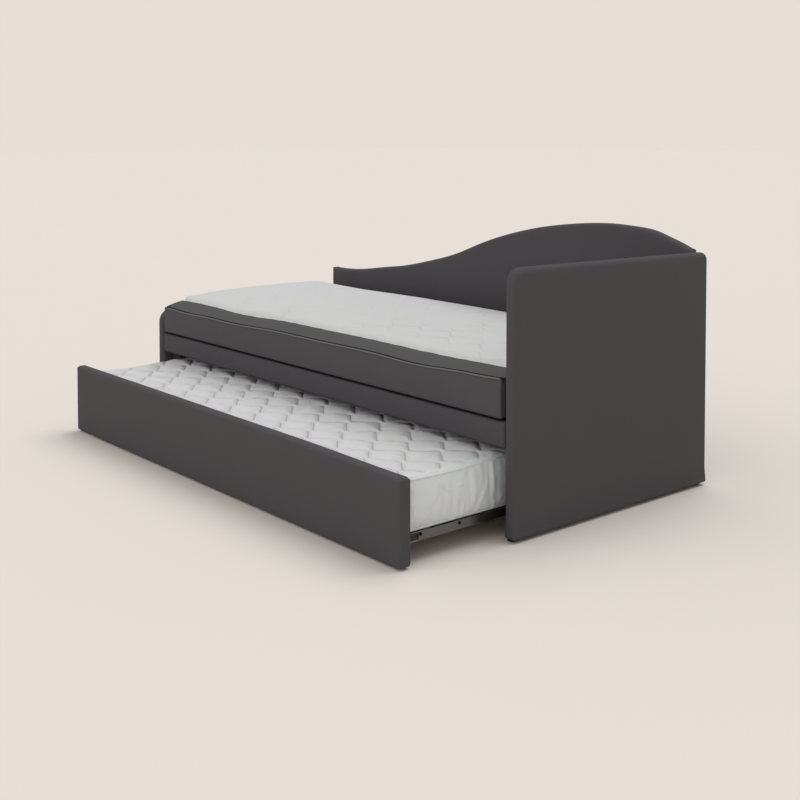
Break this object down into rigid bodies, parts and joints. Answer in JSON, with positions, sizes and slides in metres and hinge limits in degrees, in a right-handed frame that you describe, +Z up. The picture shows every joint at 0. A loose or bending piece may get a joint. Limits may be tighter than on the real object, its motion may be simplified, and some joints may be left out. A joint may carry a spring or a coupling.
{
  "type": "daybed with pull-out trundle bed",
  "caption": "Upholstered daybed with a wavy back, one tall and one low end panel, a mattress on a slatted base and a second mattress on a trundle frame that rolls out on castors.",
  "frame": {"origin": "on the floor under the middle of the whole bed's bounding box, with the trundle drawn out as in the picture", "axes": "+X along the bed towards its tall end, +Y towards the back panel, +Z up"},
  "size_m": [2.11, 1.317, 0.8665],
  "materials": {
    "upholstery": "dark grey woven fabric over foam",
    "board": "raw particle board inside the padding",
    "dowel": "plain beech",
    "foot": "black moulded plastic",
    "bracket_steel": "light grey powder coat",
    "fastener_steel": "zinc plated",
    "frame_steel": "dark grey powder coat",
    "slat_wood": "bent birch plywood, lacquered",
    "slat_cap": "black moulded holder",
    "mattress_cover": "white knitted cover, quilted",
    "mattress_border": "dark grey woven fabric border",
    "piping": "grey sewn piping",
    "black_bolt": "black oxide",
    "buffer_rubber": "black rubber",
    "fork_steel": "zinc coloured pressed steel",
    "wheel_plastic": "dark moulded plastic",
    "wheel_rubber": "soft grey tread"
  },
  "bodies": {
    "bedstead": {"tall_panel_board": "board", "tall_panel_padding": "upholstery", "low_panel_board": "board", "low_panel_padding": "upholstery", "back_panel_board": "board", "back_panel_padding": "upholstery", "front_rail_board": "board", "front_rail_padding": "upholstery", "joining_dowels": "dowel", "panel_feet": "foot", "corner_bracket_front_right": "bracket_steel", "corner_bracket_front_left": "bracket_steel", "corner_bracket_rear_right": "bracket_steel", "corner_bracket_rear_left": "bracket_steel", "bracket_screws": "fastener_steel", "base_end_tube_right": "frame_steel", "base_end_tube_left": "frame_steel", "base_front_tube": "frame_steel", "base_middle_tube": "frame_steel", "base_rear_tube": "frame_steel", "base_bolts": "fastener_steel", "base_slats": "slat_wood", "base_slat_caps": "slat_cap", "upper_mattress": "mattress_cover", "upper_mattress_border": "mattress_border", "upper_mattress_piping": "piping"},
    "trundle": {"trundle_panel_board": "board", "trundle_panel_padding": "upholstery", "panel_bracket_right": "bracket_steel", "panel_bracket_left": "bracket_steel", "panel_screws": "fastener_steel", "trundle_end_angle_right": "frame_steel", "trundle_end_angle_left": "frame_steel", "trundle_front_angle": "frame_steel", "trundle_rear_angle": "frame_steel", "castor_bar_front": "frame_steel", "castor_bar_rear": "frame_steel", "trundle_frame_bolts": "black_bolt", "trundle_slats": "slat_wood", "trundle_slat_caps": "slat_cap", "rear_buffers": "buffer_rubber", "castor_rivets": "fastener_steel", "castor_fork_front_right": "fork_steel", "castor_fork_front_left": "fork_steel", "castor_fork_rear_right": "fork_steel", "castor_fork_rear_left": "fork_steel", "castor_axle_front_right": "fastener_steel", "castor_axle_front_left": "fastener_steel", "castor_axle_rear_right": "fastener_steel", "castor_axle_rear_left": "fastener_steel", "trundle_mattress": "mattress_cover"},
    "wheel_front_right": {"castor_wheel_front_right": "wheel_plastic", "castor_tyre_front_right": "wheel_rubber"},
    "wheel_front_left": {"castor_wheel_front_left": "wheel_plastic", "castor_tyre_front_left": "wheel_rubber"},
    "wheel_rear_right": {"castor_wheel_rear_right": "wheel_plastic", "castor_tyre_rear_right": "wheel_rubber"},
    "wheel_rear_left": {"castor_wheel_rear_left": "wheel_plastic", "castor_tyre_rear_left": "wheel_rubber"}
  },
  "joints": [
    {"name": "trundle_slide", "type": "slide", "parent": "bedstead", "child": "trundle", "axis": [0, -1, 0], "range_m": [-0.389, 0.395]},
    {"name": "wheel_spin_front_right", "type": "hinge", "parent": "trundle", "child": "wheel_front_right", "pos_m": [0.82, -0.4095, 0.025], "axis": [1, 0, 0], "continuous": true},
    {"name": "wheel_spin_front_left", "type": "hinge", "parent": "trundle", "child": "wheel_front_left", "pos_m": [-0.82, -0.4095, 0.025], "axis": [1, 0, 0], "continuous": true},
    {"name": "wheel_spin_rear_right", "type": "hinge", "parent": "trundle", "child": "wheel_rear_right", "pos_m": [0.82, 0.087, 0.025], "axis": [1, 0, 0], "continuous": true},
    {"name": "wheel_spin_rear_left", "type": "hinge", "parent": "trundle", "child": "wheel_rear_left", "pos_m": [-0.82, 0.087, 0.025], "axis": [1, 0, 0], "continuous": true}
  ],
  "couplings": [
    {"joint": "wheel_spin_front_right", "follows": "trundle_slide", "rad_per_m": 40},
    {"joint": "wheel_spin_front_left", "follows": "trundle_slide", "rad_per_m": 40},
    {"joint": "wheel_spin_rear_right", "follows": "trundle_slide", "rad_per_m": 40},
    {"joint": "wheel_spin_rear_left", "follows": "trundle_slide", "rad_per_m": 40}
  ]
}
